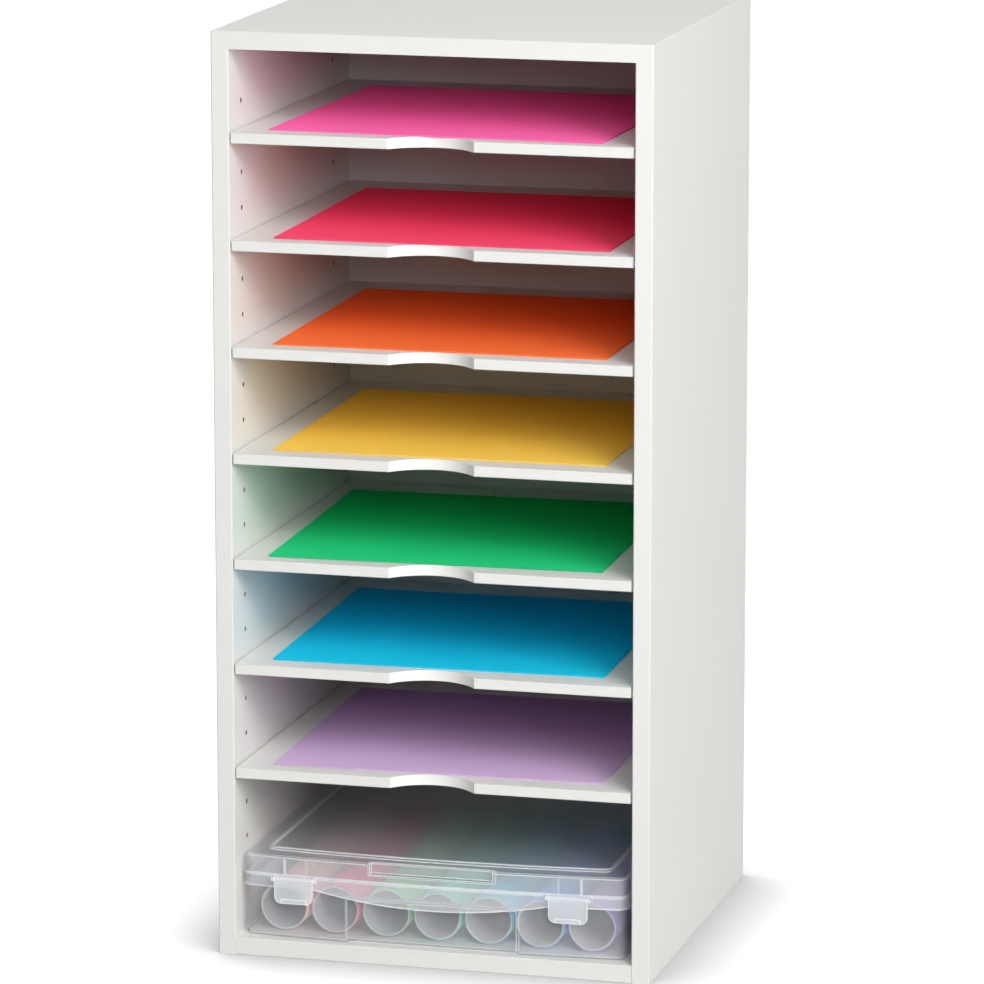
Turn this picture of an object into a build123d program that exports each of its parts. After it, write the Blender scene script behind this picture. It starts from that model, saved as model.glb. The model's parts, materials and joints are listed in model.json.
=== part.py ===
from build123d import *
import os

# A tall, narrow cabinet for square scrapbook paper. Seven thin trays lie on shelf pins between
# two drilled side boards, each with a finger notch in its front edge and a small stack of paper
# on top. A clear lidded case full of short rolls stands in the bay under the lowest tray.
# X runs along the front, the front faces -Y and Z is up. The origin is the middle of the
# cabinet's footprint, on the floor. Every size is in millimetres.

# The paper that the cabinet is made round
paper_size = 304.8        # twelve inches square
paper_side_room = 31.6    # from the paper to each side board
paper_depth_room = 72.2   # cabinet's inner depth beyond the paper's

# Cabinet boards
board = 16.0              # thickness of the side, top and bottom boards
board_edge_bevel = 0.8    # eased long edges of the boards
back_thickness = 3.0      # thin back panel
back_inset = 8.0          # from the boards' rear edges to the back panel
groove_depth = 6.0        # how far the back panel enters each board
groove_play = 0.25        # play around the back panel in its grooves

# Columns of shelf-pin holes
hole_diameter = 5.0
hole_depth = 10.0
hole_pitch = 32.0
first_hole_height = 70.0
flat_sides = 8            # sides of the small holes and bars that repeat, drawn without curves
turning_sides = 10        # sides of the pins, barrels and cams that turn, and of their holes
round_rows = [2, 22]      # rows with round holes, where one more tray can go
holes_above_trays = 1     # free holes above the top tray's
top_hole_room = 50.0      # from the highest hole up to the top board
front_column_setback = 37.0
rear_column_setback = 52.0  # from the back panel's face

# Trays
tray_count = 7
tray_thickness = 9.5
tray_end_gap = 1.75       # between each tray end and its side board
tray_back_gap = 2.0       # between the tray and the back panel
tray_edge_bevel = 0.6
lowest_tray_hole = 3      # counted from the lowest hole, which is 0
holes_between_trays = 3
notch_width = 79.0
notch_depth = 21.5

# Shelf pins
pin_play = 0.05           # radial play in the hole
pin_end_room = 2.0        # hole past the pin's end
pin_plate_play = 0.55     # between the plate and the tray's end
pin_plate_width = 9.0
pin_plate_rise = 4.5      # plate above the pin's axis
tongue_length = 11.0
tongue_thickness = 1.8
tongue_drop = 1.5         # from the pin's axis down to the tongue's upper face

# Wooden dowels and cam fittings
dowel_diameter = 8.0
dowel_length = 30.0
dowel_in_face = 10.0      # part of a dowel in the face of a board
dowel_play = 0.05
dowel_end_space = 1.0     # room past each end of a dowel
dowel_setback = 60.0      # outermost dowels, from the front and rear edges
cam_setback = 110.0       # cam fittings, from the front and rear edges
cam_diameter = 15.0
cam_height = 12.0
cam_reach = 34.0          # cam centre, from the end of the bottom board
cam_play = 0.15
cam_cap_recess = 0.5      # cam face below the board's lower face
cam_slot_width = 2.0
cam_slot_depth = 2.5
bolt_shank_diameter = 6.0
bolt_thread_diameter = 5.0
bolt_thread_length = 11.0
bolt_neck_diameter = 4.0
bolt_neck_length = 5.0
bolt_head_diameter = 6.5
bolt_head_length = 3.0

# Paper stacks, from the top tray to the lowest: sideways shift of the stack's middle, setback
# of its front edge from the cabinet's front, and turn in degrees
paper_stack_height = 1.4
paper_shifts = [2.2, 1.8, -0.1, -1.9, -7.6, -5.3, -3.3]
paper_setbacks = [19.0, 20.5, 23.0, 25.0, 22.5, 27.0, 22.0]
paper_turns = [-1.4, 0.6, 0.4, 0.7, 1.8, 1.4, 1.0]

# Clear case in the lowest bay
case_left_gap = 1.5       # between the case and the side boards
case_right_gap = 6.5
case_setback = 3.0        # foremost point of the case, behind the cabinet's front
case_rear_gap = 22.4      # between the case's hinges and the back panel
case_bow = 9.0            # how far the middle of the front stands proud of its ends
case_corner = 12.0
case_wall = 2.0
case_fit = 0.5            # gap between the lid's skirt and the base, and above the base's rim
base_height = 56.5
base_foot_bevel = 2.0
base_recess_width = 157.0
base_recess_depth = 6.0
base_recess_top = 16.0    # from the recess up to the base's rim
skirt_height = 12.0
lid_step = 2.0            # from the skirt's face back to the wall above it
lid_wall_height = 17.0    # from the skirt's ledge up to the flat top
lid_edge_bevel = 1.8
panel_side_inset = 20.0   # raised panel's edges, from the skirt's face
panel_front_inset = 19.6
panel_back_inset = 20.0
panel_corner = 8.0
panel_rise = 1.5
panel_rim_height = 1.2
panel_rim_width = 2.4
grip_width = 114.0
grip_depth = 9.0          # from the skirt's face to the grip recess's rear face
grip_floor = 7.0          # grip recess's floor above the ledge
lip_drop = 11.0           # lowest point of the curved lip below the skirt
rib_thickness = 1.4
rib_spacing = 21.0
rib_height = 14.0
rib_setback = 0.4         # ribs' front edges behind the skirt's face

# Latches on the lid's front
latch_end_distance = 52.5  # from each end of the case to the latch's middle
latch_width = 36.0
latch_height = 22.0
latch_thickness = 2.6
latch_gap = 0.5           # between the latch and the lid's skirt
latch_corner = 6.5
latch_barrel_radius = 2.4
latch_pin_diameter = 2.2
latch_pin_play = 0.1
latch_ear_thickness = 2.2
latch_ear_gap = 0.4
latch_grip_depth = 1.2    # thickening along the latch's lower edge
latch_grip_height = 4.0
latch_drop = 3.0          # latch pin's axis below the lid's ledge

# Hinges at the rear of the case
hinge_spacing = 220.0
hinge_pin_diameter = 3.0
hinge_play = 0.1
knuckle_radius = 3.0
knuckle_width = 22.0
ear_width = 7.0
knuckle_gap = 0.4
hinge_clearance = 0.6     # between the ears and the lid's rear face
web_thickness = 2.5

# Rolls in the case
roll_count = 7
roll_sides = 20           # flat sides that stand for each roll's curve
roll_wall = 2.2
roll_gap = 2.6            # between neighbours
roll_side_room = 9.2      # between the outer rolls and the base's side walls
roll_front_room = 13.0    # between the rolls and the base's recessed front wall
roll_rear_room = 16.6     # between the rolls and the base's rear wall

overshoot = 1.0           # extra length of a cut past the face that it opens

# Places worked out from the sizes above
cabinet_width = paper_size + 2 * paper_side_room + 2 * board
cabinet_depth = paper_size + paper_depth_room + back_thickness + back_inset
holes_per_column = lowest_tray_hole + holes_between_trays * (tray_count - 1) + holes_above_trays + 1
top_hole_height = first_hole_height + hole_pitch * (holes_per_column - 1)
cabinet_height = top_hole_height + top_hole_room + board
front = -cabinet_depth / 2
rear = cabinet_depth / 2
inner_half_width = cabinet_width / 2 - board
side_height = cabinet_height - board
back_rear_face = rear - back_inset
back_front_face = back_rear_face - back_thickness
column_places = [front + front_column_setback, back_front_face - rear_column_setback]
hole_heights = [first_hole_height + hole_pitch * n for n in range(holes_per_column)]
lowest_tray_pin = first_hole_height + hole_pitch * lowest_tray_hole
tray_pin_heights = [lowest_tray_pin + hole_pitch * holes_between_trays * (tray_count - 1 - k)
                    for k in range(tray_count)]
tray_undersides = [height - tongue_drop for height in tray_pin_heights]
dowel_places = [front + dowel_setback, 0.0, rear - dowel_setback]
cam_places = [front + cam_setback, rear - cam_setback]
board_middle = board / 2

case_width = 2 * inner_half_width - case_left_gap - case_right_gap
case_shift = (case_left_gap - case_right_gap) / 2
hinge_y = back_front_face - case_rear_gap - knuckle_radius
case_front = front + case_setback
case_back = hinge_y - knuckle_radius - hinge_clearance
case_floor = board
base_inset = case_wall + case_fit
base_rim = case_floor + base_height
ledge = base_rim + case_fit + case_wall
skirt_bottom = ledge - skirt_height
lid_top = ledge + lid_wall_height
panel_height = lid_top + panel_rise
hinge_z = skirt_bottom
latch_axis_z = ledge - latch_drop
latch_spacing = case_width - 2 * latch_end_distance
latch_places = [-latch_spacing / 2, latch_spacing / 2]
hinge_places = [-hinge_spacing / 2, hinge_spacing / 2]

LOW = (Align.CENTER, Align.CENTER, Align.MIN)


def block(low, high):
    """Box between two opposite corners."""
    size = [high[i] - low[i] for i in range(3)]
    middle = [(high[i] + low[i]) / 2 for i in range(3)]
    return Pos(*middle) * Box(*size)


def rod(start, direction, diameter, length):
    """Round bar, or the cut of a round hole, from its start along a direction."""
    return Plane(origin=start, z_dir=direction) * Cylinder(diameter / 2, length, align=LOW)


def light_rod(start, direction, diameter, length, sides=flat_sides):
    """Bar or hole with a few flat sides, for the ones that repeat."""
    outline = RegularPolygon(diameter / 2, sides)
    return Plane(origin=start, z_dir=direction) * extrude(outline, length)


def rounded(solid, axis, radius):
    """The solid with its edges along one axis rounded."""
    return fillet(solid.edges().filter_by(axis), radius)


def eased(solid, axis, width):
    """The solid with a narrow bevel on its edges along one axis."""
    return chamfer(solid.edges().filter_by(axis), width)


# ---------------------------------------------------------------- cabinet

def back_groove():
    """Cut for the thin back panel, reaching into all four boards round it."""
    reach = inner_half_width + groove_depth
    return block((-reach, back_front_face - groove_play, board - groove_depth),
                 (reach, back_rear_face + groove_play, cabinet_height - board + groove_depth))


def side_board(side):
    """Side board, drilled inside for shelf pins. side is -1 for the left and 1 for the right."""
    inner = side * inner_half_width
    outer = side * cabinet_width / 2
    panel = block((min(inner, outer), front, 0), (max(inner, outer), rear, side_height))
    panel = eased(panel, Axis.Z, board_edge_bevel)
    outward = (side, 0, 0)
    cuts = []
    for row, z in enumerate(hole_heights):
        drill = rod if row in round_rows else light_rod
        cuts += [drill((inner, y, z), outward, hole_diameter, hole_depth) for y in column_places]
    top_hole = dowel_length - dowel_in_face + dowel_end_space
    middle = side * (inner_half_width + board_middle)
    face_hole = dowel_in_face + dowel_end_space
    cuts += [light_rod((middle, y, side_height), (0, 0, -1), dowel_diameter, top_hole)
             for y in dowel_places]
    cuts += [light_rod((inner, y, board_middle), outward, dowel_diameter, face_hole)
             for y in dowel_places]
    cuts += [light_rod((inner, y, board_middle), outward, bolt_thread_diameter, bolt_thread_length)
             for y in cam_places]
    return panel - cuts - back_groove()


def top_board():
    """Top board, which lies on both side boards and is pinned to them by dowels."""
    half = cabinet_width / 2
    panel = block((-half, front, side_height), (half, rear, cabinet_height))
    panel = eased(panel, Axis.Z, board_edge_bevel)
    panel = chamfer(panel.edges().group_by(Axis.Z)[-1], board_edge_bevel)
    holes = [light_rod((side * (inner_half_width + board_middle), y, side_height), (0, 0, 1),
                       dowel_diameter, dowel_in_face + dowel_end_space)
             for side in (-1, 1) for y in dowel_places]
    return panel - holes - back_groove()


def bottom_board():
    """Bottom board between the sides, drilled for dowels, cam bolts and cams."""
    panel = block((-inner_half_width, front, 0), (inner_half_width, rear, board))
    panel = eased(panel, Axis.X, board_edge_bevel)
    cuts = [back_groove()]
    for side in (-1, 1):
        end = side * inner_half_width
        inward = (-side, 0, 0)
        cuts += [light_rod((end, y, board_middle), inward, dowel_diameter,
                           dowel_length - dowel_in_face + dowel_end_space) for y in dowel_places]
        cuts += [light_rod((end, y, board_middle), inward, bolt_head_diameter + 2 * cam_play, cam_reach)
                 for y in cam_places]
        cuts += [light_rod((end - side * cam_reach, y, 0), (0, 0, 1), cam_diameter + 2 * cam_play,
                           cam_height + cam_cap_recess, turning_sides) for y in cam_places]
    return panel - cuts


def back_panel():
    """Thin panel held in the grooves of the four boards."""
    reach = inner_half_width + groove_depth - groove_play
    return block((-reach, back_front_face, board - groove_depth + groove_play),
                 (reach, back_rear_face, cabinet_height - board + groove_depth - groove_play))


def shelf_pin(side, y, z):
    """Shelf pin: a stub in the side board, a thin plate and a tongue under the tray."""
    wall = side * inner_half_width
    stub = light_rod((wall, y, z), (side, 0, 0), hole_diameter - 2 * pin_play,
                     hole_depth - pin_end_room)
    plate_end = wall - side * (tray_end_gap - pin_plate_play)
    tongue_end = wall - side * (tray_end_gap + tongue_length)
    half = pin_plate_width / 2
    tongue_top = z - tongue_drop
    tongue_bottom = tongue_top - tongue_thickness
    plate = block((min(wall, plate_end), y - half, tongue_bottom),
                  (max(wall, plate_end), y + half, z + pin_plate_rise))
    tongue = block((min(wall, tongue_end), y - half, tongue_bottom),
                   (max(wall, tongue_end), y + half, tongue_top))
    return stub + plate + tongue


def shelf_pins():
    """Four pins for each tray."""
    return Compound([shelf_pin(side, y, z) for z in tray_pin_heights
                     for side in (-1, 1) for y in column_places])


def dowels():
    """Wooden dowels between the top board and the sides, and between the sides and the bottom."""
    diameter = dowel_diameter - 2 * dowel_play
    pins = []
    for side in (-1, 1):
        for y in dowel_places:
            foot = (side * (inner_half_width + board_middle), y,
                    side_height - dowel_length + dowel_in_face)
            pins.append(light_rod(foot, (0, 0, 1), diameter, dowel_length))
            start = (side * (inner_half_width + dowel_in_face), y, board_middle)
            pins.append(light_rod(start, (-side, 0, 0), diameter, dowel_length))
    return Compound(pins)


def cam_bolt(side, y):
    """Bolt screwed into the side board, with a neck and head inside the cam."""
    wall = side * inner_half_width
    inward = (-side, 0, 0)
    neck_start = cam_reach - bolt_neck_length - bolt_head_length / 2

    def stretch(start, length, diameter):
        return light_rod((wall - side * start, y, board_middle), inward, diameter, length)

    thread = stretch(-bolt_thread_length, bolt_thread_length, bolt_thread_diameter - 2 * pin_play)
    shank = stretch(0, neck_start, bolt_shank_diameter)
    neck = stretch(neck_start, bolt_neck_length, bolt_neck_diameter)
    head = stretch(neck_start + bolt_neck_length, bolt_head_length, bolt_head_diameter)
    return thread + shank + neck + head


def cam(side, y):
    """Cam that pulls on the bolt's head, with a slot for a screwdriver in its lower face."""
    x = side * (inner_half_width - cam_reach)
    body = light_rod((x, y, cam_cap_recess), (0, 0, 1), cam_diameter, cam_height, turning_sides)
    radius = cam_diameter / 2
    room = bolt_head_diameter / 2 + cam_play
    mouth = light_rod((x + side * radius, y, board_middle), (-side, 0, 0), 2 * room, radius)
    pocket = block((x - room, y - room, board_middle - room), (x + room, y + room, board_middle + room))
    slot = block((x - radius, y - cam_slot_width / 2, 0),
                 (x + radius, y + cam_slot_width / 2, cam_cap_recess + cam_slot_depth))
    return body - mouth - pocket - slot


def tray(index):
    """Thin board that lies on four pins, with an arc-shaped finger notch in its front edge."""
    half = inner_half_width - tray_end_gap
    z = tray_undersides[index]
    panel = block((-half, front, z), (half, back_front_face - tray_back_gap, z + tray_thickness))
    panel = eased(panel, Axis.X, tray_edge_bevel)
    radius = (notch_width ** 2 / 4 + notch_depth ** 2) / (2 * notch_depth)
    middle = Pos(0, front + notch_depth - radius, z - overshoot)
    notch = middle * Cylinder(radius, tray_thickness + 2 * overshoot, align=LOW)
    return panel - notch


def paper_stack(index):
    """Square stack of sheets lying on a tray, slightly out of square as it was put there."""
    z = tray_undersides[index] + tray_thickness
    stack = Box(paper_size, paper_size, paper_stack_height, align=LOW)
    middle = front + paper_setbacks[index] + paper_size / 2
    return Pos(paper_shifts[index], middle, z) * Rot(0, 0, paper_turns[index]) * stack


# ---------------------------------------------------------------- clear case

def curved_plan(height, side, ahead, behind, corner):
    """Plan at a height, drawn in from the case's sides, front and back, with a bowed front."""
    half = case_width / 2 - side
    y_mid = case_front + ahead
    y_end = y_mid + case_bow
    y_back = case_back - behind
    arc = ThreePointArc((-half, y_end), (0, y_mid), (half, y_end))
    rest = Polyline((half, y_end), (half, y_back), (-half, y_back), (-half, y_end))
    plan = make_face([arc, rest])
    plan = fillet(plan.vertices(), corner)
    return Pos(case_shift, 0, height) * plan


def case_plan(height, inset):
    """Plan of the case at a height, drawn in by the same inset all round."""
    return curved_plan(height, inset, inset, inset, max(case_corner - inset, case_wall))


def panel_plan(height, inset):
    """Plan of the lid's raised panel, drawn in by the same inset all round."""
    return curved_plan(height, panel_side_inset + inset, panel_front_inset + inset,
                       panel_back_inset + inset, max(panel_corner - inset, case_wall))


def prism(bottom, top, inset):
    """Upright body on the case's plan."""
    return extrude(case_plan(bottom, inset), top - bottom)


def case_front_at(x):
    """How far back the case's front face lies at a distance from its middle."""
    return case_front + case_bow * (2 * x / case_width) ** 2


def recess_cut(grown):
    """Shallow recess in the middle of the base's front, grown by a wall for the inside."""
    half = base_recess_width / 2 + grown
    deep = case_front_at(base_recess_width / 2) + base_inset + base_recess_depth + grown
    top = base_rim - base_recess_top + grown
    cut = block((case_shift - half, case_front - overshoot, case_floor - overshoot),
                (case_shift + half, deep, top))
    return rounded(cut, Axis.Z, case_wall)


def base_ears():
    """Ears behind the base that hold the ends of the hinge pins."""
    ears = []
    reach = knuckle_width / 2 + knuckle_gap
    for place in hinge_places:
        for start in (place - reach - ear_width, place + reach):
            x = case_shift + start
            web = block((x, case_back - base_inset - case_wall / 2, hinge_z - knuckle_gap - web_thickness),
                        (x + ear_width, hinge_y, hinge_z - knuckle_gap))
            barrel = light_rod((x, hinge_y, hinge_z), (1, 0, 0), 2 * knuckle_radius, ear_width,
                               turning_sides)
            ears.append(web + barrel)
    return ears


def hinge_rods(diameter, length):
    """Bars on the hinge axis, centred on each hinge."""
    return [light_rod((case_shift + place - length / 2, hinge_y, hinge_z), (1, 0, 0), diameter,
                      length, turning_sides) for place in hinge_places]


def case_base():
    """Open tray of the case: thin walls, a recessed front, a bevelled foot and rear hinge ears."""
    shell = prism(case_floor, base_rim, base_inset)
    shell = chamfer(shell.edges().group_by(Axis.Z)[0], base_foot_bevel)
    hollow = prism(case_floor + case_wall, base_rim + overshoot, base_inset + case_wall)
    shell = shell - recess_cut(0) - (hollow - recess_cut(case_wall))
    for ear in base_ears():
        shell += ear
    length = knuckle_width + 2 * (knuckle_gap + ear_width)
    return shell - hinge_rods(hinge_pin_diameter, length + 2 * overshoot)


def lid_outside():
    """Solid outline of the lid: skirt, wall with a bevelled upper edge, and raised panel."""
    skirt = prism(skirt_bottom, ledge, 0)
    upper = prism(ledge - case_wall, lid_top, lid_step)
    upper = chamfer(upper.edges().group_by(Axis.Z)[-1], lid_edge_bevel)
    panel = extrude(panel_plan(lid_top - case_wall, 0), panel_rise + case_wall)
    return skirt + upper + panel


def lid_inside():
    """Hollow of the lid, a wall's thickness inside its outline."""
    skirt = prism(skirt_bottom - overshoot, ledge - case_wall, case_wall)
    upper = prism(skirt_bottom, lid_top - case_wall, lid_step + case_wall)
    panel = extrude(panel_plan(ledge, case_wall), panel_height - case_wall - ledge)
    return skirt + upper + panel


def panel_rim():
    """Thin raised bead round the lid's panel."""
    bead = panel_plan(panel_height, 0) - panel_plan(panel_height, panel_rim_width)
    return extrude(bead, panel_rim_height)


def grip_cut(grown):
    """Recess for the fingers in the lid's upper front edge, grown by a wall for the inside."""
    half = grip_width / 2 + grown
    deep = case_front + grip_depth + grown
    return block((case_shift - half, case_front - overshoot, ledge + grip_floor - grown),
                 (case_shift + half, deep, lid_top + overshoot))


def smile_lip():
    """Curved lower edge of the skirt between the latches."""
    lowest = skirt_bottom - lip_drop
    ring = extrude(case_plan(lowest, 0) - case_plan(lowest, case_wall), lip_drop + overshoot)
    half = latch_spacing / 2 - latch_width / 2
    top = Polyline((half, 0), (half, overshoot), (-half, overshoot), (-half, 0))
    smile = ThreePointArc((-half, 0), (0, -lip_drop), (half, 0))
    reach = case_bow + case_wall + overshoot
    window = extrude(Plane.XZ * make_face([top, smile]), reach)
    return ring & (Pos(case_shift, case_front + reach - overshoot, skirt_bottom) * window)


def latch_axis_y(place):
    """Distance along the depth of a latch's pins, just in front of the lid's skirt."""
    return case_front_at(abs(place) - latch_width / 2) - latch_gap - latch_barrel_radius


def latch_ears(place):
    """Two ears on the skirt that hold one latch's pins."""
    ears = []
    reach = latch_width / 2 + latch_ear_gap
    y = latch_axis_y(place)
    for start in (place - reach - latch_ear_thickness, place + reach):
        x = case_shift + start
        nearest = min(abs(start), abs(start + latch_ear_thickness))
        inside_skirt = case_front_at(nearest) + case_wall / 2
        barrel = light_rod((x, y, latch_axis_z), (1, 0, 0), 2 * latch_barrel_radius,
                           latch_ear_thickness, turning_sides)
        web = block((x, y, latch_axis_z - latch_barrel_radius),
                    (x + latch_ear_thickness, inside_skirt, latch_axis_z + latch_barrel_radius))
        hole = light_rod((x - overshoot, y, latch_axis_z), (1, 0, 0),
                         latch_pin_diameter + 2 * latch_pin_play,
                         latch_ear_thickness + 2 * overshoot, turning_sides)
        ears.append(barrel + web - hole)
    return ears


def lid_ribs(place):
    """Two upright ribs between the skirt's ledge and the wall above a latch."""
    ribs = []
    for offset in (-rib_spacing / 2, rib_spacing / 2):
        x = case_shift + place + offset
        face = case_front_at(abs(place) + rib_spacing / 2)
        ribs.append(block((x - rib_thickness / 2, face + rib_setback, ledge - case_wall / 2),
                          (x + rib_thickness / 2, face + lid_step + case_wall / 2, ledge + rib_height)))
    return ribs


def lid_knuckles():
    """Knuckles behind the lid that turn on the hinge pins."""
    knuckles = []
    for place in hinge_places:
        x = case_shift + place - knuckle_width / 2
        barrel = light_rod((x, hinge_y, hinge_z), (1, 0, 0), 2 * knuckle_radius, knuckle_width,
                           turning_sides)
        web = block((x, case_back - case_wall / 2, hinge_z),
                    (x + knuckle_width, hinge_y, hinge_z + knuckle_radius))
        knuckles.append(barrel + web)
    return knuckles


def case_lid():
    """Lid: skirt with a curved lip, wall, raised panel, grip recess, ribs and hinge knuckles."""
    hollow = lid_inside() - grip_cut(case_wall)
    solid = lid_outside() - grip_cut(0)
    for place in latch_places:
        for rib in lid_ribs(place):
            solid += rib
    solid = solid - hollow + smile_lip() + panel_rim()
    for place in latch_places:
        for ear in latch_ears(place):
            solid += ear
    for knuckle in lid_knuckles():
        solid += knuckle
    return solid - hinge_rods(hinge_pin_diameter + 2 * hinge_play, knuckle_width + 2 * overshoot)


def latch(place):
    """Latch: a plate with rounded lower corners that hangs from two stub pins."""
    x = case_shift + place
    y = latch_axis_y(place)
    half = latch_width / 2
    plate = block((x - half, y - latch_thickness / 2, latch_axis_z - latch_height),
                  (x + half, y + latch_thickness / 2, latch_axis_z))
    lower = plate.edges().filter_by(Axis.Y).group_by(Axis.Z)[0]
    plate = fillet(lower, latch_corner)
    grip = block((x - half + latch_corner, y - latch_thickness / 2 - latch_grip_depth,
                  latch_axis_z - latch_height),
                 (x + half - latch_corner, y, latch_axis_z - latch_height + latch_grip_height))
    grip = fillet(grip.edges().filter_by(Axis.X).group_by(Axis.Y)[0], latch_grip_depth / 2)
    barrel = light_rod((x - half, y, latch_axis_z), (1, 0, 0), 2 * latch_barrel_radius, latch_width,
                       turning_sides)
    pin_reach = half + latch_ear_gap + latch_ear_thickness
    pins = light_rod((x - pin_reach, y, latch_axis_z), (1, 0, 0), latch_pin_diameter, 2 * pin_reach,
                     turning_sides)
    return plate + grip + barrel + pins


def hinge_pins():
    """Steel pins through the base's ears and the lid's knuckles."""
    return Compound(hinge_rods(hinge_pin_diameter, knuckle_width + 2 * (knuckle_gap + ear_width)))


def roll(index):
    """Hollow roll lying front to back in the case."""
    hollow_width = case_width - 2 * (base_inset + case_wall)
    room = hollow_width - 2 * roll_side_room - (roll_count - 1) * roll_gap
    diameter = room / roll_count
    x = case_shift + (index - (roll_count - 1) / 2) * (diameter + roll_gap)
    front_wall = case_front_at(base_recess_width / 2) + base_inset + base_recess_depth + case_wall
    start = (x, front_wall + roll_front_room, case_floor + case_wall + diameter / 2)
    length = case_back - base_inset - case_wall - roll_rear_room - start[1]
    tube = light_rod(start, (0, 1, 0), diameter, length, roll_sides)
    return tube - light_rod(start, (0, 1, 0), diameter - 2 * roll_wall, length, roll_sides)


def all_nodes():
    """Every piece of the cabinet and of the case, by its node's name."""
    nodes = {
        "left_side_board": side_board(-1),
        "right_side_board": side_board(1),
        "top_board": top_board(),
        "bottom_board": bottom_board(),
        "back_panel": back_panel(),
        "shelf_pins": shelf_pins(),
        "dowels": dowels(),
        "cam_bolts": Compound([cam_bolt(side, y) for side in (-1, 1) for y in cam_places]),
        "cams": Compound([cam(side, y) for side in (-1, 1) for y in cam_places]),
        "case_base": case_base(),
        "case_lid": case_lid(),
        "case_hinge_pins": hinge_pins(),
        "latch_left": latch(latch_places[0]),
        "latch_right": latch(latch_places[1]),
    }
    for k in range(tray_count):
        nodes[f"tray_{k + 1}"] = tray(k)
        nodes[f"paper_stack_{k + 1}"] = paper_stack(k)
    for k in range(roll_count):
        nodes[f"roll_{k + 1}"] = roll(k)
    return nodes


os.makedirs("parts", exist_ok=True)
for name, piece in all_nodes().items():
    export_step(piece, f"parts/{name}.step")
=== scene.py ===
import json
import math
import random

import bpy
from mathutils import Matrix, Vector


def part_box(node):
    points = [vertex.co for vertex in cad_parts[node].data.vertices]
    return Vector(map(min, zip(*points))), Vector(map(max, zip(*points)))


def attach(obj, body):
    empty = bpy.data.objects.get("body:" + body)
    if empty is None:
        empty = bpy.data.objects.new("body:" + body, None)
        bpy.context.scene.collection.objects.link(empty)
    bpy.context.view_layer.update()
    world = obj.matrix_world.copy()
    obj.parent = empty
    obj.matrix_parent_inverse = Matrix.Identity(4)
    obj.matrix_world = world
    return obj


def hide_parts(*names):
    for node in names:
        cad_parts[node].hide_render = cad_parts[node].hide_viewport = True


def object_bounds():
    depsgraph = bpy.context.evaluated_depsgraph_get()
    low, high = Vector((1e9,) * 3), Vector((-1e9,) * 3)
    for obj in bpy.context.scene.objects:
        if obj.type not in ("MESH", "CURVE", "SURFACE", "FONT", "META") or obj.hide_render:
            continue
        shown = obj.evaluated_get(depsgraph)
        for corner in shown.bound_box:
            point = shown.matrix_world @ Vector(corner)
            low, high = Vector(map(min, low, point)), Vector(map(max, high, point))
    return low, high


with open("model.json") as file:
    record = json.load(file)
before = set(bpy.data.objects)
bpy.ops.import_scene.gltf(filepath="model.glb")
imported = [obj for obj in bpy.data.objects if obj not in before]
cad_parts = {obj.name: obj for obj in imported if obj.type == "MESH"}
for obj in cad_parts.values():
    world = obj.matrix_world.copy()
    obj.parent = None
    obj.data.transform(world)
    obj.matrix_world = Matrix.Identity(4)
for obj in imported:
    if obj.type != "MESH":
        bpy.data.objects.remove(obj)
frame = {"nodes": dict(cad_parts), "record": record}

# %% [markdown]
# A tall white cabinet holds square scrapbook paper. Seven thin trays lie on shelf pins between two
# drilled side boards, and a clear lidded case full of rolls stands in the lowest bay.
# The cabinet's boards, trays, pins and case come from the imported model, which the line above
# loads. They have their real shape already, so this script gives them finishes. Paper and rolls
# are blocks and tubes in that model. Here they are made again, as sheets and as wound film.
# Everything is in metres. X runs along the front, the front faces -Y and Z is up.

MM = 0.001
packed_low, packed_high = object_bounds()
nodes = frame["nodes"]
tray_count = sum(name.startswith("tray_") for name in nodes)
roll_count = sum(name.startswith("roll_") for name in nodes)
print("packed size in mm:", [round(side / MM) for side in packed_high - packed_low])
print(tray_count, "trays and", roll_count, "rolls")

# %% [markdown]
# ## Camera
# The photograph was taken from a little above the cabinet's top and from its right, with a long
# lens from five metres away. A long lens keeps the upright edges nearly parallel. The place, the
# turn and the focal length below came from matching the cabinet's corners to the photograph.
# The camera is set with given numbers instead of by a constraint, so that it stays exactly there.

# %% Camera
camera_place = (1.3752, -5.1592, 1.4825)
camera_tilt = 78.526
camera_turn = 14.880
camera_lens = 217.755
sensor_width = 36        # millimetres

camera = bpy.data.objects.new("camera", bpy.data.cameras.new("camera"))
camera.location = camera_place
camera.rotation_euler = (math.radians(camera_tilt), 0, math.radians(camera_turn))
camera.data.lens = camera_lens
camera.data.sensor_width = sensor_width
bpy.context.scene.collection.objects.link(camera)
bpy.context.scene.camera = camera
bpy.context.scene.view_settings.view_transform = "Standard"
print("camera", round(Vector(camera_place).length, 2), "m from the cabinet's foot")

# %% [markdown]
# ## Sums on sockets
# A finish is a node tree, and most of its nodes do small sums. Written out node by node, a sum of
# three terms takes twenty lines. The first class below holds one socket and knows how to add,
# subtract, multiply and compare, so that `1 - mask * 0.5` in Python adds the Math nodes by itself.
# The second class holds the tree. Its `node` takes a node's type, its settings and its sockets.

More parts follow.
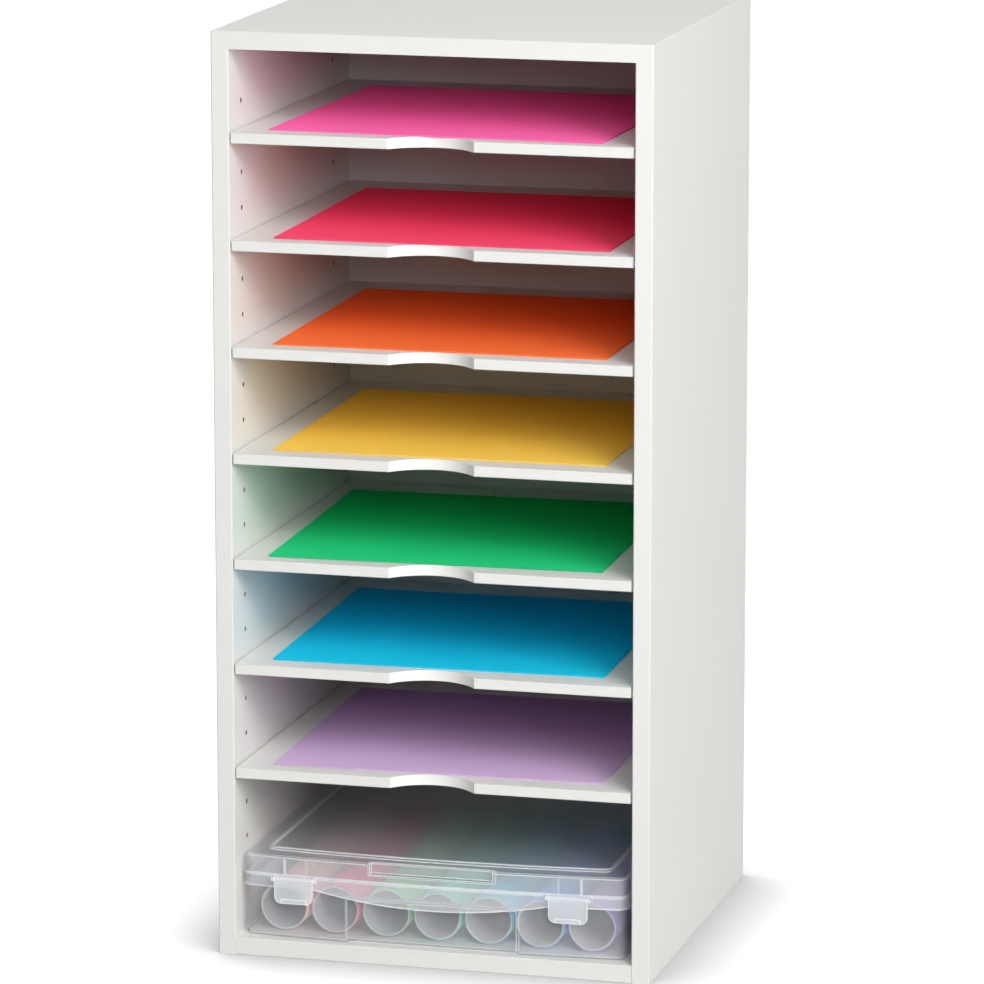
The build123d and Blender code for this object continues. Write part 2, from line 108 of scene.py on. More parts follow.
# %% A socket that does sums
class Value:
    """One output socket. Sums on it add Math nodes to its tree."""

    def __init__(self, recipe, socket):
        self.recipe = recipe
        self.socket = socket

    def sum(self, operation, first, second):
        return self.recipe.node("Math", {"operation": operation}, {0: first, 1: second})

    def __add__(self, other):
        return self.sum("ADD", self, other)

    def __radd__(self, other):
        return self.sum("ADD", other, self)

    def __sub__(self, other):
        return self.sum("SUBTRACT", self, other)

    def __rsub__(self, other):
        return self.sum("SUBTRACT", other, self)

    def __mul__(self, other):
        return self.sum("MULTIPLY", self, other)

    def __rmul__(self, other):
        return self.sum("MULTIPLY", other, self)

    def __lt__(self, other):
        return self.sum("LESS_THAN", self, other)

    def __gt__(self, other):
        return self.sum("GREATER_THAN", self, other)

    def __abs__(self):
        return self.sum("ABSOLUTE", self, 0)


known = [name for name in ("add", "sub", "mul", "lt", "gt", "abs")
         if hasattr(Value, f"__{name}__")]
print("sums on a socket:", ", ".join(known))

# %% A node tree that is written like a recipe
class Recipe:
    """A node tree. node() adds any node, and the other methods are short names for common ones."""

    def __init__(self, tree):
        self.tree = tree
        tree.nodes.clear()

    def node(self, kind, settings=None, sockets=None, output=0):
        """Adds a node: its type, its settings, then its sockets by name or number."""
        made = self.tree.nodes.new("ShaderNode" + kind)
        for name, setting in (settings or {}).items():
            if name == "stops":
                self.set_stops(made.color_ramp, setting)
            else:
                setattr(made, name, setting)
        for name, content in (sockets or {}).items():
            if isinstance(content, Value):
                self.tree.links.new(content.socket, made.inputs[name])
            else:
                made.inputs[name].default_value = content
        return Value(self, made.outputs[output]) if made.outputs else made

    def set_stops(self, ramp, stops):
        """Puts a ramp's stops, as pairs of a place and a grey level."""
        while len(ramp.elements) < len(stops):
            ramp.elements.new(1)
        for element, (place, level) in zip(ramp.elements, stops):
            element.position = place
            element.color = (level, level, level, 1)

    def place(self):
        """Where a point lies on the piece at rest, in metres."""
        return self.node("TexCoord", output="Object")

    def along(self, axis):
        """The point's X, Y or Z, in metres."""
        return self.node("SeparateXYZ", sockets={0: self.place()}, output=axis)

    def stretched(self, factors):
        """The point's place with each axis multiplied, for grain that runs one way."""
        return self.node("VectorMath", {"operation": "MULTIPLY"}, {0: self.place(), 1: factors})

    def noise(self, scale, detail=3, rough=0.55, stretch=(1, 1, 1)):
        """Soft noise from about 0.3 to 0.7, with `scale` waves in a metre."""
        return self.node("TexNoise", sockets={"Vector": self.stretched(stretch), "Scale": scale,
                                              "Detail": detail, "Roughness": rough})

    def ramp(self, factor, stops):
        """Turns a value into another by straight lines between the stops."""
        return self.node("ValToRGB", {"stops": stops}, {"Fac": factor})

    def mix(self, factor, first, second, how="MIX"):
        """Mixes two colours."""
        settings = {"data_type": "RGBA", "blend_type": how, "clamp_factor": True}
        return self.node("Mix", settings, {0: factor, 6: first, 7: second}, output=2)

    def bump(self, height, distance, strength=1.0):
        """A normal bent by a height, whose full range is `distance` metres."""
        return self.node("Bump", sockets={"Height": height, "Distance": distance,
                                          "Strength": strength})


print("recipe words:", ", ".join(name for name in dir(Recipe) if name[0] != "_"))

# %% [markdown]
# ## Floor and backdrop
# The photograph has a pure white background with a narrow soft shadow at the cabinet's foot. One
# large floor reaches the horizon. It looks white because it glows for the camera and in
# reflections, and the world does the same above the horizon. That glow doesn't light the cabinet.
# A glow also hides a shadow, so it is weaker at the foot. An Ambient Occlusion node finds that
# place: it says how much of the sky over a point is free of nearby pieces. A drawn dark patch
# would stay behind when a tray or the case slides out, and this shadow moves with them.

# %% What sees the white background
def seen(recipe):
    """1 for a ray from the camera, or one that came off gloss or through clear plastic."""
    camera_ray = recipe.node("LightPath", output="Is Camera Ray")
    glossy_ray = recipe.node("LightPath", output="Is Glossy Ray")
    clear_ray = recipe.node("LightPath", output="Is Transmission Ray")
    return camera_ray.sum("MAXIMUM", camera_ray, camera_ray.sum("MAXIMUM", glossy_ray, clear_ray))


print("the white background shows to camera, glossy and transmission rays")

# %% World
world_light = 0.15

world = bpy.data.worlds.new("studio")
world.use_nodes = True
bpy.context.scene.world = world
sky = Recipe(world.node_tree)
plain = sky.node("Background", sockets={"Color": (1, 1, 1, 1), "Strength": world_light})
white = sky.node("Background", sockets={"Color": (1, 1, 1, 1), "Strength": 1.0})
either = sky.node("MixShader", sockets={0: seen(sky), 1: plain, 2: white})
sky.node("OutputWorld", sockets={0: either})
print("world light", world_light)

# %% Floor
floor_reach = 60.0
floor_colour = (0.80, 0.80, 0.80, 1)        # what lights the cabinet from below
seen_colour = (0.22, 0.22, 0.22, 1)         # what the camera sees, under the glow
near_glow = 0.32         # at the cabinet's foot, where its shadow must show
far_glow = 1.0
shadow_reach = 0.11      # metres
blocked, unblocked = 0.45, 0.985    # share of free sky at the foot, and where the shadow ends

floor_mesh = bpy.data.meshes.new("floor")
corners = [(-floor_reach, -floor_reach), (floor_reach, -floor_reach),
           (floor_reach, floor_reach), (-floor_reach, floor_reach)]
floor_mesh.from_pydata([(x, y, 0) for x, y in corners], [], [(0, 1, 2, 3)])
floor = bpy.data.objects.new("floor", floor_mesh)
bpy.context.scene.collection.objects.link(floor)

floor_material = bpy.data.materials.new("studio_floor")
floor_material.use_nodes = True
paint = Recipe(floor_material.node_tree)
free_sky = paint.node("AmbientOcclusion", {"samples": 8}, {"Distance": shadow_reach}, output="AO")
outwards = paint.ramp(free_sky, [(blocked, 0), (unblocked, 1)])
plain_floor = paint.node("BsdfDiffuse", sockets={"Color": floor_colour})
matt = paint.node("BsdfDiffuse", sockets={"Color": seen_colour})
near = paint.node("Emission", sockets={"Color": (1, 1, 1, 1), "Strength": near_glow})
far = paint.node("Emission", sockets={"Color": (1, 1, 1, 1), "Strength": far_glow})
glow = paint.node("MixShader", sockets={0: outwards, 1: near, 2: far})
both = paint.node("AddShader", sockets={0: matt, 1: glow})
whole = paint.node("MixShader", sockets={0: seen(paint), 1: plain_floor, 2: both})
paint.node("OutputMaterial", sockets={0: whole})
floor_mesh.materials.append(floor_material)
print("floor", 2 * floor_reach, "m across")

# %% [markdown]
# ## Lamps
# Large soft lamps light the cabinet as a product studio does. A low and a high one stand in front
# and to the right. They light the right side and the left wall of each bay. A third stands nearly
# in front and reaches deeper into the bays, and a weak one lights the top. The tray above shades
# the rear of each paper. A last one stands behind, for views of the back, and the photograph
# doesn't see what it lights. Large lamps give soft shadows. Their power is low enough that the
# white boards don't turn to blank white.

# %% Lamps
def soft_lamp(name, place, aim, size, power):
    """Square area lamp that looks at a point."""
    light = bpy.data.lights.new(name, "AREA")
    light.size = size
    light.energy = power
    lamp = bpy.data.objects.new(name, light)
    lamp.location = place
    lamp.rotation_mode = "QUATERNION"
    lamp.rotation_quaternion = (Vector(aim) - Vector(place)).to_track_quat("-Z", "Y")
    bpy.context.scene.collection.objects.link(lamp)
    return lamp


cabinet_middle = (0, 0, 0.45)
low_lamp = soft_lamp("low_lamp", (2.9, -2.9, 1.9), cabinet_middle, 1.8, 46)
high_lamp = soft_lamp("high_lamp", (2.6, -2.6, 2.8), cabinet_middle, 1.8, 66)
front_lamp = soft_lamp("front_lamp", (1.6, -3.6, 2.2), cabinet_middle, 1.8, 74)
top_lamp = soft_lamp("top_lamp", (0, -0.4, 3.6), (0, 0, 0.6), 1.5, 13)
back_lamp = soft_lamp("back_lamp", (-3.2, 2.4, 2.6), cabinet_middle, 2.0, 54)
print("lamps:", low_lamp.name, high_lamp.name, front_lamp.name, top_lamp.name, back_lamp.name)

# %% [markdown]
# ## White boards
# The boards are particle board with a printed melamine skin, and their edges have a glued plastic
# band. The skin is off-white with a faint cloudiness and a fine pearl texture that breaks up the
# gloss. The band is a touch smoother and painted a little greyer, as painted shade on the front
# faces, and a hair-thin glue line separates the two. Noise in the piece's own coordinates gives
# the skin, and the distance from the front face gives the band.
# Drilled holes show the raw brown chips, darkened as painted shade inside the holes. They lie
# inside the board's thickness, so a point's place tells them from the skin.

# %% Finishes get their own material
def new_finish(name):
    """An empty material and the recipe that fills it."""
    material = bpy.data.materials.new(name)
    material.use_nodes = True
    return material, Recipe(material.node_tree)


def surface(recipe, sockets):
    """Ends a recipe with a Principled surface."""
    recipe.node("OutputMaterial", sockets={0: recipe.node("BsdfPrincipled", sockets=sockets)})


def shade(colour, factor):
    """A colour made darker or lighter."""
    return tuple(channel * factor for channel in colour[:3]) + (1,)


print("half of white is", shade((1, 1, 1, 1), 0.5))

# %% Where the boards are drilled
board_thickness = packed_high.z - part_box("top_board")[0].z
inner_half_width = packed_high.x - board_thickness
skin_depth = 1.5 * MM    # deeper than this under an outer face, one sees chips darkened with painted shade
face_play = 0.1 * MM


def between(value, low, high):
    """1 where a value lies between two limits."""
    return (value > low) * (value < high)


def inside_boards(recipe):
    """1 on the walls of drilled holes and grooves, which lie deeper than any outer face."""
    depth = between(recipe.along("Y"), packed_low.y + skin_depth, packed_high.y - skin_depth)
    side = between(abs(recipe.along("X")), inner_half_width + face_play,
                   packed_high.x - skin_depth)
    upright = between(recipe.along("Z"), packed_low.z + skin_depth,
                      packed_high.z - board_thickness - face_play)
    return depth * side * upright


print("boards", round(board_thickness / MM, 1), "mm thick")

# %% Melamine board
board_white = (0.81, 0.81, 0.785, 1)
band_thickness = 1.0 * MM
band_painted_shade = 0.91        # the band is painted a little greyer, as painted shade on the front faces
glue_line = 0.12 * MM
front_face = packed_low.y
dark_chips_and_hole_shade = (0.10, 0.06, 0.035, 1)
pale_chips_and_hole_shade = (0.30, 0.21, 0.13, 1)


def melamine(name, white, scuffs=0.0):
    """White melamine skin with a banded front edge. scuffs adds faint rubbing along the depth."""
    material, recipe = new_finish(name)
    cloud = recipe.noise(9, detail=2)
    pearl = recipe.noise(1400, detail=2, rough=0.5)
    grit = recipe.noise(260, detail=4, rough=0.7)
    rub = recipe.noise(30, detail=5, rough=0.7, stretch=(14, 0.6, 3))
    depth = recipe.along("Y") - front_face
    band = depth < band_thickness
    seam = abs(depth - band_thickness) < glue_line
    skin = recipe.mix(cloud, shade(white, 0.975), shade(white, 1.02))
    skin = recipe.mix(recipe.ramp(grit, [(0.62, 0), (0.72, 0.5)]), skin, shade(white, 0.93))
    skin = recipe.mix(recipe.ramp(rub, [(0.55, 0), (0.75, 1)]) * scuffs, skin, shade(white, 0.88))
    # the front band is painted greyer, as painted shade on the front faces
    skin = recipe.mix(band, skin, shade(white, band_painted_shade))
    skin = recipe.mix(seam * 0.5, skin, shade(white, 0.6))
    chips = recipe.ramp(grit, [(0.40, 0), (0.60, 1)])
    # hole walls get raw chip colours, darkened as painted shade inside the holes
    skin = recipe.mix(inside_boards(recipe), skin, recipe.mix(chips, dark_chips_and_hole_shade, pale_chips_and_hole_shade))
    relief = pearl * (1 - band * 0.7) + grit * 0.3 - seam * 0.6
    surface(recipe, {
        "Base Color": skin,
        "Roughness": 0.50 + cloud * 0.12 - band * 0.08 + rub * 0.1 * scuffs,
        "Specular IOR Level": 0.22,
        "Normal": recipe.bump(relief, 0.02 * MM, 0.6),
    })
    return material


board_finish = melamine("white_board", board_white)
tray_finish = melamine("white_tray", shade(board_white, 1.01), scuffs=0.35)
print("melamine:", board_finish.name, tray_finish.name)

# %% [markdown]
# The back panel is thin hardboard with a painted white face. Its fibres show as short soft dents,
# and it is a little greyer and duller than the boards.

# %% Hardboard back
def hardboard(name, white):
    """Painted hardboard with short fibres."""
    material, recipe = new_finish(name)
    fibre = recipe.noise(160, detail=6, rough=0.7, stretch=(1, 1, 3))
    cloud = recipe.noise(6)
    skin = recipe.mix(cloud, shade(white, 0.96), shade(white, 1.02))
    skin = recipe.mix(recipe.ramp(fibre, [(0.5, 0), (0.75, 0.5)]), skin, shade(white, 0.9))
    surface(recipe, {
        "Base Color": skin,
        "Roughness": 0.55 + fibre * 0.2,
        "Normal": recipe.bump(fibre, 0.08 * MM, 0.7),
    })
    return material


back_finish = hardboard("white_back", (0.78, 0.78, 0.76, 1))
print("hardboard:", back_finish.name)

# %% [markdown]
# ## Metal and wood fittings
# The shelf pins and cam bolts are bright nickel-plated steel with fine tumbling marks. The cams
# are raw cast zinc, which is greyer and grainy. The dowels are beech, with pores along their
# length. Most of this is hidden, but it shows when a tray is pulled out or the cabinet is turned.

# %% Metals
def metal(name, colour, roughness, grain_scale, dent):
    """Metal with grainy roughness and small dents."""
    material, recipe = new_finish(name)
    grain = recipe.noise(grain_scale, detail=5, rough=0.65)
    patch = recipe.noise(120, detail=2)
    surface(recipe, {
        "Base Color": recipe.mix(patch, shade(colour, 0.88), shade(colour, 1.05)),
        "Metallic": 1.0,
        "Roughness": roughness + grain * 0.2 + patch * 0.1,
        "Normal": recipe.bump(grain, dent, 0.6),
    })
    return material


steel_finish = metal("plated_steel", (0.70, 0.69, 0.66, 1), 0.16, 2600, 0.01 * MM)
zinc_finish = metal("cast_zinc", (0.56, 0.57, 0.59, 1), 0.36, 1500, 0.03 * MM)
print("metals:", steel_finish.name, zinc_finish.name)


# %% Beech
def beech(name, colour):
    """Beech with short dark pores along its grain."""
    material, recipe = new_finish(name)
    growth = recipe.noise(240, detail=4, stretch=(0.3, 1, 0.3))
    pore = recipe.noise(900, detail=2, stretch=(0.2, 1, 0.2))
    skin = recipe.mix(growth, shade(colour, 0.85), shade(colour, 1.08))
    skin = recipe.mix(recipe.ramp(pore, [(0.58, 0), (0.68, 0.8)]), skin, shade(colour, 0.55))
    surface(recipe, {
        "Base Color": skin,
        "Roughness": 0.55 + growth * 0.2,
        "Normal": recipe.bump(pore, 0.05 * MM, 0.7),
    })
    return material


beech_finish = beech("beech", (0.60, 0.40, 0.23, 1))
print("wood:", beech_finish.name)

# %% [markdown]
# ## Milky plastic
# The case is moulded in clear polypropylene, which is a little milky. Each wall lets most light
# through and adds a pale veil. Glass would bend the light in each thin wall and make its edges
# black. So an upright wall is white skin with a low alpha. Edges and ribs, where one looks through
# much plastic at once, turn white. A Bevel node finds them: it gives the surface's direction
# averaged over a small radius, which differs from the true one only near an edge.
# The flat panel on top has a spark-eroded texture that blurs what lies under it. That is rough
# transmission, with little bending because the panel is thin. Cycles doesn't send a lamp's light
# straight through it, so for a ray that looks for a lamp the panel is plainly see-through.

# %% Where edges are
edge_radius = 1.4 * MM
edge_starts, edge_full = 0.01, 0.09     # how far the two directions differ


def near_edge(recipe):
    """From 0 on flat walls to 1 at an edge."""
    rounded = recipe.node("Bevel", {"samples": 6}, {"Radius": edge_radius})
    true_normal = recipe.node("NewGeometry", output="True Normal")
    same = recipe.node("VectorMath", {"operation": "DOT_PRODUCT"}, {0: rounded, 1: true_normal},
                       output="Value")
    return recipe.ramp(1 - same, [(edge_starts, 0), (edge_full, 1)])


print("edges are found within", edge_radius / MM, "mm")

# %% Milky plastic
edge_milk = 0.92
plastic_ior = 1.49
panel_blur = 0.24
panel_ior = 1.12         # low, because a thin panel hardly bends the light
facing_up = 0.7          # least upward share of a flat wall's direction


def milky(name, tint, panel_milk, wall_milk, roughness):
    """Clear plastic with a veil. A milk is the share of white skin on flat or upright walls."""
    material, recipe = new_finish(name)
    texture = recipe.noise(1500, detail=3, rough=0.6)
    flow = recipe.noise(14, detail=2, stretch=(1, 0.4, 1))
    edge = near_edge(recipe)
    relief = recipe.bump(texture, 0.01 * MM, 0.5)
    colour = recipe.mix(flow, shade(tint, 0.97), shade(tint, 1.02))

    def skin(milk):
        """White glossy skin as thick as the milk says, and white at edges."""
        veil = milk * (0.8 + flow * 0.4) * (1 - edge) + edge * edge_milk
        return recipe.node("BsdfPrincipled", sockets={
            "Base Color": colour,
            "Roughness": roughness - 0.04 + flow * 0.08 + texture * 0.04,
            "IOR": plastic_ior,
            "Alpha": veil,
            "Normal": relief,
        })

    blurred = recipe.node("BsdfPrincipled", sockets={
        "Base Color": shade(tint, 1.04),
        "Roughness": panel_blur,
        "IOR": panel_ior,
        "Transmission Weight": 1.0,
    })
    clear = recipe.node("BsdfTransparent", sockets={"Color": shade(tint, 1.04)})
    lamp_ray = recipe.node("LightPath", output="Is Shadow Ray")
    under = recipe.node("MixShader", sockets={0: lamp_ray, 1: blurred, 2: clear})
    white = recipe.node("BsdfPrincipled", sockets={"Base Color": colour, "Roughness": roughness,
                                                   "IOR": plastic_ior, "Normal": relief})
    panel_veil = panel_milk * (1 - edge) + edge * edge_milk
    panel = recipe.node("MixShader", sockets={0: panel_veil, 1: under, 2: white})
    direction = recipe.node("TexCoord", output="Normal")
    upward = recipe.node("SeparateXYZ", sockets={0: direction}, output="Z") > facing_up
    recipe.node("OutputMaterial", sockets={
        0: recipe.node("MixShader", sockets={0: upward, 1: skin(wall_milk), 2: panel})})
    return material


plastic_tint = (0.89, 0.915, 0.95, 1)
lid_finish = milky("clear_lid", plastic_tint, 0.135, 0.24, 0.14)
base_finish = milky("clear_base", plastic_tint, 0.10, 0.14, 0.14)
latch_finish = milky("clear_latch", shade(plastic_tint, 1.02), 0.40, 0.36, 0.20)
print("plastic:", lid_finish.name, base_finish.name, latch_finish.name)

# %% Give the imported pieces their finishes
finish_of_slot = {
    "white_board": board_finish,
    "white_tray": tray_finish,
    "white_back": back_finish,
    "plated_steel": steel_finish,
    "cast_zinc": zinc_finish,
    "beech": beech_finish,
    "clear_plastic": base_finish,
    "clear_latch": latch_finish,
}
finish_of_node = {"case_lid": lid_finish}
slot_of_node = {part["node"]: part["material_slot"] for part in frame["record"]["subparts"]}
for name, piece in nodes.items():
    finish = finish_of_node.get(name, finish_of_slot.get(slot_of_node[name]))
    if finish:
        for holder in piece.material_slots:
            holder.material = finish
print(len(finish_of_slot) + len(finish_of_node), "finishes on the packed pieces")

# %% [markdown]
# ## Card
# The sheets are dyed card. Its fibres make a faint tooth, and the dye is a little uneven. Seen at
# a low angle, the fibres catch the light, which a little sheen gives. Each sheet is painted paler
# at the open front, as painted light, and deeper inside, as painted shade where the tray above
# shades the rear. A mix along Y does that. Raising a colour's channels to a power below 1 makes it
# paler, and to one above 1 deeper. Each colour has its own finish, because a sheet is picked by
# its colour.

# %% Card finish
# painted light at the open front of each sheet, turning to painted shade further in along Y
painted_light_y, painted_shade_y = -0.19, 0.02      # where the painted light is full, and where the painted shade is full
painted_light_power, painted_shade_power, sheen_power = 0.6, 1.5, 0.8


def raised(colour, power):
    """A colour with each channel raised to a power."""
    return tuple(channel ** power for channel in colour[:3]) + (1,)


def card(name, colour):
    """Dyed card: uneven dye, fibres, a soft tooth, painted light at the front and painted shade
    further in.
    """
    material, recipe = new_finish(name)
    dye = recipe.noise(35, detail=3)
    fibre = recipe.noise(900, detail=5, rough=0.7, stretch=(1, 2.5, 1))
    depth = recipe.node("MapRange", sockets={"Value": recipe.along("Y"), "From Min": painted_light_y,
                                             "From Max": painted_shade_y})
    # painted light at the front, fading to painted shade towards the rear
    dye_with_painted_light = recipe.mix(depth, raised(colour, painted_light_power), raised(colour, painted_shade_power))
    skin = recipe.mix(dye, (0.95, 0.95, 0.95, 1), (1, 1, 1, 1))
    skin = recipe.mix(1.0, dye_with_painted_light, skin, "MULTIPLY")
    skin = recipe.mix(recipe.ramp(fibre, [(0.55, 0), (0.8, 0.35)]), skin, shade(colour, 0.8))
    surface(recipe, {
        "Base Color": skin,
        "Roughness": 0.62 + fibre * 0.2,
        "Specular IOR Level": 0.04,
        "Sheen Weight": 1.0,
        "Sheen Roughness": 0.45,
        "Sheen Tint": raised(colour, sheen_power),
        "Normal": recipe.bump(fibre, 0.05 * MM, 0.6),
    })
    return material


card_colours = {
    "paper_pink": (0.96, 0.08, 0.33, 1),
    "paper_red": (0.94, 0.03, 0.09, 1),
    "paper_orange": (0.96, 0.10, 0.015, 1),
    "paper_yellow": (0.98, 0.56, 0.045, 1),
    "paper_green": (0.004, 0.50, 0.12, 1),
    "paper_blue": (0.002, 0.52, 0.84, 1),
    "paper_purple": (0.57, 0.36, 0.64, 1),
}
card_finishes = {slot: card(slot, colour) for slot, colour in card_colours.items()}
print("card:", ", ".join(card_finishes))

# %% [markdown]
# ## Sheets of paper
# On each tray lies a small stack of sheets, put down by hand, so no two sheets line up exactly
# and a corner may lift a little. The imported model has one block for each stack. Its upper corners
# say where the stack lies and how it is turned. Each sheet is a fine grid on those corners, moved
# and turned a little. A sheet lifts more the higher it lies, so that no two cut through each other.

# %% New pieces
def new_piece(name, vertices, faces, material):
    """A mesh object in the scene with one finish."""
    mesh = bpy.data.meshes.new(name)
    mesh.from_pydata(vertices, [], faces)
    mesh.materials.append(material)
    piece = bpy.data.objects.new(name, mesh)
    bpy.context.scene.collection.objects.link(piece)
    return piece


def stack_corners(node):
    """The corners of a block's upper face, anticlockwise from the left front one."""
    points = [vertex.co for vertex in nodes[node].data.vertices]
    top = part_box(node)[1].z
    upper = {(round(p.x, 6), round(p.y, 6)) for p in points if abs(p.z - top) < 0.01 * MM}
    middle = sum((Vector(p) for p in upper), Vector((0, 0))) / len(upper)
    from_middle = [Vector(p) - middle for p in upper]
    from_middle.sort(key=lambda p: math.atan2(p.y, p.x))
    return middle, from_middle


for number in range(1, tray_count + 1):
    middle, corners = stack_corners(f"paper_stack_{number}")
    edge = corners[1] - corners[0]
    turned = math.degrees(math.atan2(edge.y, edge.x))
    print(f"stack {number}: {edge.length / MM:.1f} mm wide, turned {turned:.2f} degrees")

# %% One sheet
sheet_steps = 18


def sheet_grid(middle, corners, bottom, thickness, lift):
    """Upper and lower grids of a sheet on four corners, and the faces that close it."""
    side = sheet_steps + 1
    vertices = []
    for level in (bottom, bottom + thickness):
        for j in range(side):
            for i in range(side):
                u, v = i / sheet_steps, j / sheet_steps
                front = corners[0].lerp(corners[1], u)
                rear = corners[3].lerp(corners[2], u)
                spot = middle + front.lerp(rear, v)
                vertices.append((spot.x, spot.y, level + lift(u, v)))
    upper = side * side
    faces = []
    for j in range(sheet_steps):
        for i in range(sheet_steps):
            a = j * side + i
            faces.append((a, a + side, a + side + 1, a + 1))
            faces.append((upper + a, upper + a + 1, upper + a + side + 1, upper + a + side))
    for n in range(sheet_steps):
        last = sheet_steps * side
        ring = [(n, n + 1), (last + n + 1, last + n),
                ((n + 1) * side, n * side), (n * side + sheet_steps, (n + 1) * side + sheet_steps)]
        faces += [(a, b, b + upper, a + upper) for a, b in ring]
    return vertices, faces


print("a sheet has", 2 * (sheet_steps + 1) ** 2, "points")

# %% A stack of sheets
sheets_in_stack = 5
sheet_share = 0.9        # share of a sheet's pitch that the sheet fills
sheet_play = 0.5 * MM
sheet_turn = 0.12        # degrees
corner_lift = 0.5 * MM


def paper_stack(number, slot):
    """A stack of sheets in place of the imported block."""
    node = f"paper_stack_{number}"
    low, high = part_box(node)
    middle, corners = stack_corners(node)
    chance = random.Random(number)
    pitch = (high.z - low.z) / sheets_in_stack
    vertices, faces = [], []
    lifted = [chance.random() for _ in corners]
    for n in range(sheets_in_stack):
        push = Vector((chance.uniform(-1, 1), chance.uniform(-1, 1))) * sheet_play
        turn = Matrix.Rotation(math.radians(chance.uniform(-1, 1) * sheet_turn), 2)
        share = n / (sheets_in_stack - 1)

        def lift(u, v):
            near = [(1 - u) * (1 - v), u * (1 - v), u * v, (1 - u) * v]
            return share * corner_lift * sum(w ** 6 * h for w, h in zip(near, lifted))

        made = sheet_grid(middle + push, [turn @ c for c in corners], low.z + n * pitch,
                          pitch * sheet_share, lift)
        start = len(vertices)
        vertices += made[0]
        faces += [tuple(start + index for index in face) for face in made[1]]
    piece = new_piece(f"paper_{number}", vertices, faces, card_finishes[slot])
    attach(piece, f"tray_{number}")
    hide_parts(node)
    return piece


stacks = [paper_stack(k + 1, slot) for k, slot in enumerate(card_finishes)]
print(len(stacks), "stacks of", sheets_in_stack, "sheets")

# %% [markdown]
# ## Rolls of film
# Each roll in the case is a sheet of coloured film on backing paper, wound on itself. From the
# front one sees the white cut edges of its turns and the dim inside. A tube would show one thick
# ring, so the roll is drawn as a spiral: points on a circle whose radius shrinks by one turn's
# pitch each time round, with an outer and an inner skin, drawn out along the depth.

# %% Roll finishes
def film(name, colour):
    """Satin coloured film with faint lengthwise stretch marks."""
    material, recipe = new_finish(name)
    stretch = recipe.noise(120, detail=4, stretch=(1, 0.15, 1))
    cloud = recipe.noise(20)
    surface(recipe, {
        "Base Color": recipe.mix(cloud, shade(colour, 0.93), shade(colour, 1.04)),
        "Roughness": 0.30 + stretch * 0.2,
        "IOR": 1.48,
        "Coat Weight": 0.2 + stretch * 0.1,
        "Normal": recipe.bump(stretch, 0.06 * MM, 0.5),
    })
    return material


def backing(name, colour):
    """Backing paper: the inside of each turn, and its cut edges."""
    material, recipe = new_finish(name)
    fibre = recipe.noise(700, detail=5, rough=0.7)
    cloud = recipe.noise(25)
    surface(recipe, {
        "Base Color": recipe.mix(cloud, shade(colour, 0.95), colour),
        "Roughness": 0.55 + fibre * 0.2,
        "Normal": recipe.bump(fibre, 0.04 * MM, 0.5),
    })
    return material


film_colours = {
    "roll_peach": (0.80, 0.46, 0.40, 1),
    "roll_rose": (0.74, 0.02, 0.16, 1),
    "roll_lime": (0.20, 0.52, 0.22, 1),
    "roll_mint": (0.02, 0.52, 0.34, 1),
    "roll_aqua": (0.01, 0.46, 0.62, 1),
    "roll_lilac": (0.04, 0.32, 0.86, 1),
    "roll_lavender": (0.34, 0.18, 0.66, 1),
}
film_finishes = {slot: film(slot, colour) for slot, colour in film_colours.items()}
backing_finish = backing("roll_backing", (0.36, 0.36, 0.38, 1))
cut_finish = backing("roll_cut_edge", (0.84, 0.84, 0.86, 1))
print("film:", ", ".join(film_finishes))

# %% Points of a wound roll
turn_steps = 56
depth_steps = 6
film_share = 0.62        # share of a turn's pitch that the film fills
most_slip = 0.6 * MM     # how far a turn may stand back at the roll's ends


def spiral_radius(outer, wall, turns, angle):
    """Radius of the film's outer skin at an angle from the outer end."""
    return outer - wall * angle / (2 * math.pi * turns)


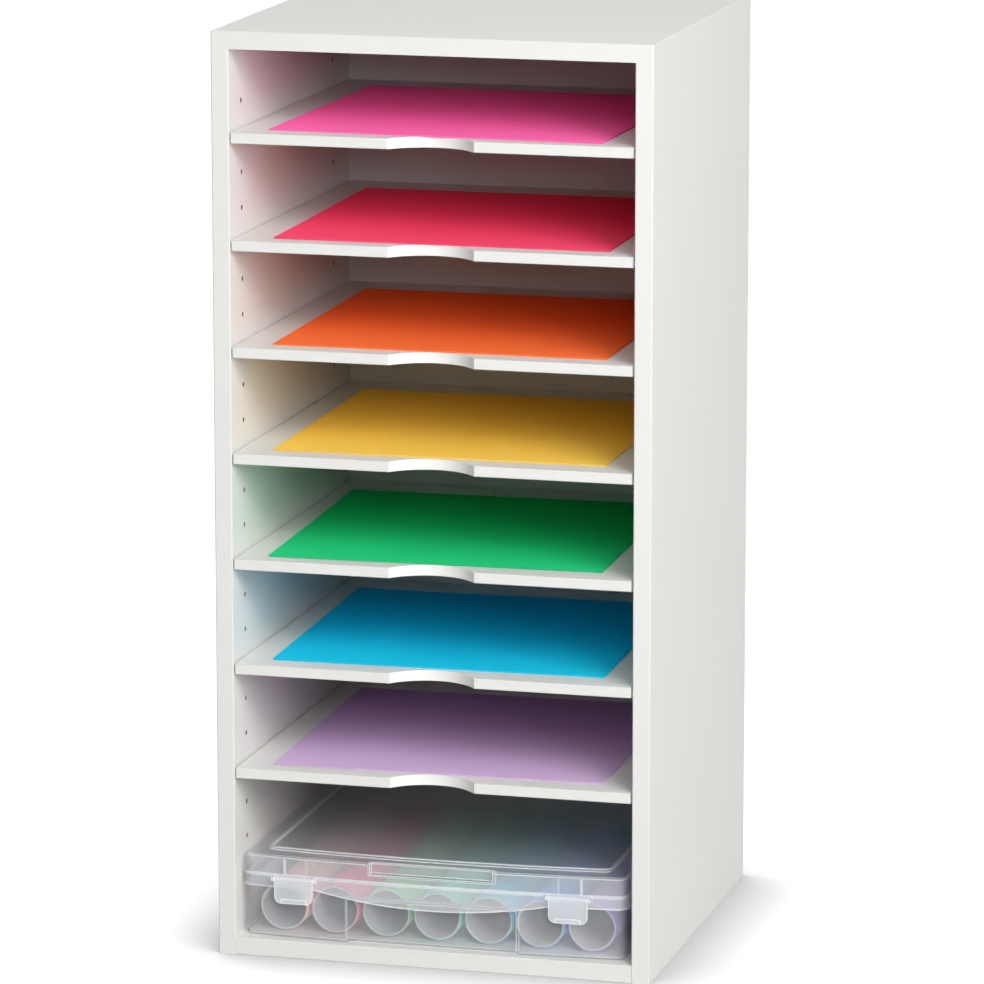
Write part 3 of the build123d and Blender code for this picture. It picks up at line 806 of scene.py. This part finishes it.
def spiral_points(low, high, turns, wall, chance):
    """Outer and inner skin of the spiral, ring after ring from the front to the rear."""
    centre = (low + high) / 2
    outer = (high.x - low.x) / 2
    thickness = wall / turns * film_share
    begin = chance.uniform(0, 2 * math.pi)
    slips = [chance.uniform(0, 1) * most_slip for _ in range(3)]
    points = []
    for j in range(depth_steps + 1):
        for n in range(round(turns * turn_steps) + 1):
            angle = 2 * math.pi * n / turn_steps
            slip = slips[int(angle / (2 * math.pi)) % 3] if j in (0, depth_steps) else 0
            y = low.y + (high.y - low.y) * j / depth_steps + (slip if j == 0 else -slip)
            radius = spiral_radius(outer, wall, turns, angle)
            for distance in (radius, radius - thickness):
                points.append((centre.x + distance * math.cos(begin + angle), y,
                               centre.z + distance * math.sin(begin + angle)))
    return points


print("a turn has", turn_steps, "steps")

# %% Faces of a wound roll
film_side, backing_side, cut_side = 0, 1, 2     # the roll's material slots


def spiral_faces(count):
    """Faces between the spiral's points, and each face's material slot."""
    row = 2 * (count + 1)
    faces, sides = [], []

    def add(side, *corners):
        faces.append(corners)
        sides.append(side)

    for j in range(depth_steps):
        for n in range(count):
            a = j * row + 2 * n
            add(film_side, a, a + 2, a + 2 + row, a + row)
            add(backing_side, a + 1, a + 1 + row, a + 3 + row, a + 3)
    for n in range(count):
        a, b = 2 * n, depth_steps * row + 2 * n
        side = cut_side if n > turn_steps else film_side    # the outer turn hides its cut
        add(side, a, a + 1, a + 3, a + 2)
        add(side, b, b + 2, b + 3, b + 1)
    for j in range(depth_steps):
        a, b = j * row, j * row + 2 * count
        add(film_side, a, a + row, a + row + 1, a + 1)
        add(film_side, b, b + 1, b + 1 + row, b + row)
    return faces, sides


print("one turn has", len(spiral_faces(turn_steps)[0]), "faces")

# %% Wound rolls in the case
roll_wall = 2.2 * MM
fewest_turns, turns_more = 3.3, 0.25


def wound_roll(number, slot, turns, wall):
    """A sheet of film wound into a roll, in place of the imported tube."""
    node = f"roll_{number}"
    low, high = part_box(node)
    points = spiral_points(low, high, turns, wall, random.Random(20 + number))
    faces, sides = spiral_faces(round(turns * turn_steps))
    piece = new_piece(f"film_roll_{number}", points, faces, film_finishes[slot])
    piece.data.materials.append(backing_finish)
    piece.data.materials.append(cut_finish)
    for polygon, side in zip(piece.data.polygons, sides):
        polygon.material_index = side
        polygon.use_smooth = True
    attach(piece, "case")
    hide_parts(node)
    return piece


rolls = [wound_roll(k + 1, slot, fewest_turns + turns_more * (k % 3), roll_wall)
         for k, slot in enumerate(film_finishes)]
print(len(rolls), "wound rolls")

# %% [markdown]
# ## The end
